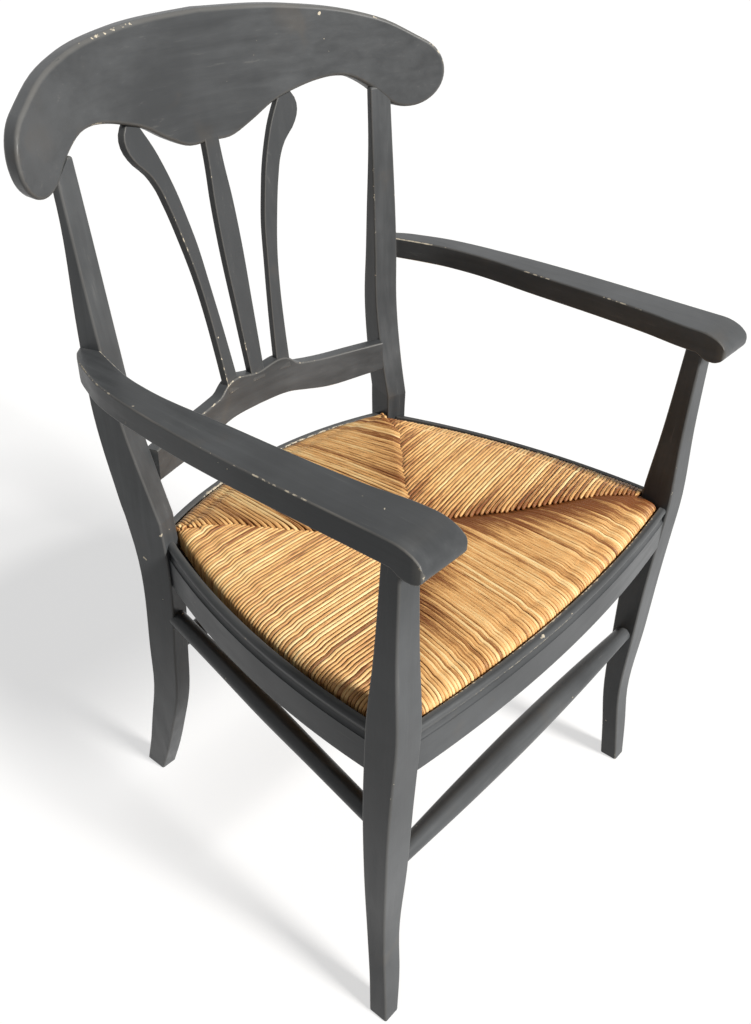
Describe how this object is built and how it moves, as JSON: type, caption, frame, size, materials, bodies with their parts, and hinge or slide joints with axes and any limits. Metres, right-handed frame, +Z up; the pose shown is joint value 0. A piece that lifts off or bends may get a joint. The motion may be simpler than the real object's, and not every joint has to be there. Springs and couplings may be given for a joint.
{
  "type": "rush seat armchair",
  "caption": "Painted wooden country armchair with a woven rush seat, fan back splats, a bowed crest rail with round ends and turned stretchers.",
  "frame": {"origin": "middle of the chair's footprint, on the floor that the four feet stand on", "axes": "+Z up, -Y the way the sitter faces, +X to the sitter's left"},
  "size_m": [0.583, 0.5484, 0.945],
  "materials": {
    "painted_wood": "worn charcoal satin paint with pale chips along the edges",
    "bare_wood": "bare sawn beech",
    "rush": "hand-twisted natural rush, golden straw",
    "stuffing": "packed rush ends",
    "screw_steel": "plain steel wood screws"
  },
  "bodies": {
    "root": {"left_front_leg": "painted_wood", "right_front_leg": "painted_wood", "left_rear_post": "painted_wood", "right_rear_post": "painted_wood", "crest_rail": "painted_wood", "lower_back_rail": "painted_wood", "centre_splat": "painted_wood", "left_splat": "painted_wood", "right_splat": "painted_wood", "left_armrest": "painted_wood", "right_armrest": "painted_wood", "front_seat_rail": "painted_wood", "rear_seat_rail": "painted_wood", "left_seat_rail": "painted_wood", "right_seat_rail": "painted_wood", "front_stretcher": "painted_wood", "rear_stretcher": "painted_wood", "left_side_stretcher": "painted_wood", "right_side_stretcher": "painted_wood", "front_left_corner_block": "bare_wood", "front_right_corner_block": "bare_wood", "rear_left_corner_block": "bare_wood", "rear_right_corner_block": "bare_wood", "seat_frame_front_bar": "bare_wood", "seat_frame_rear_bar": "bare_wood", "seat_frame_left_bar": "bare_wood", "seat_frame_right_bar": "bare_wood", "rush_seat": "rush", "rush_stuffing": "stuffing", "corner_block_screws": "screw_steel"}
  },
  "joints": []
}
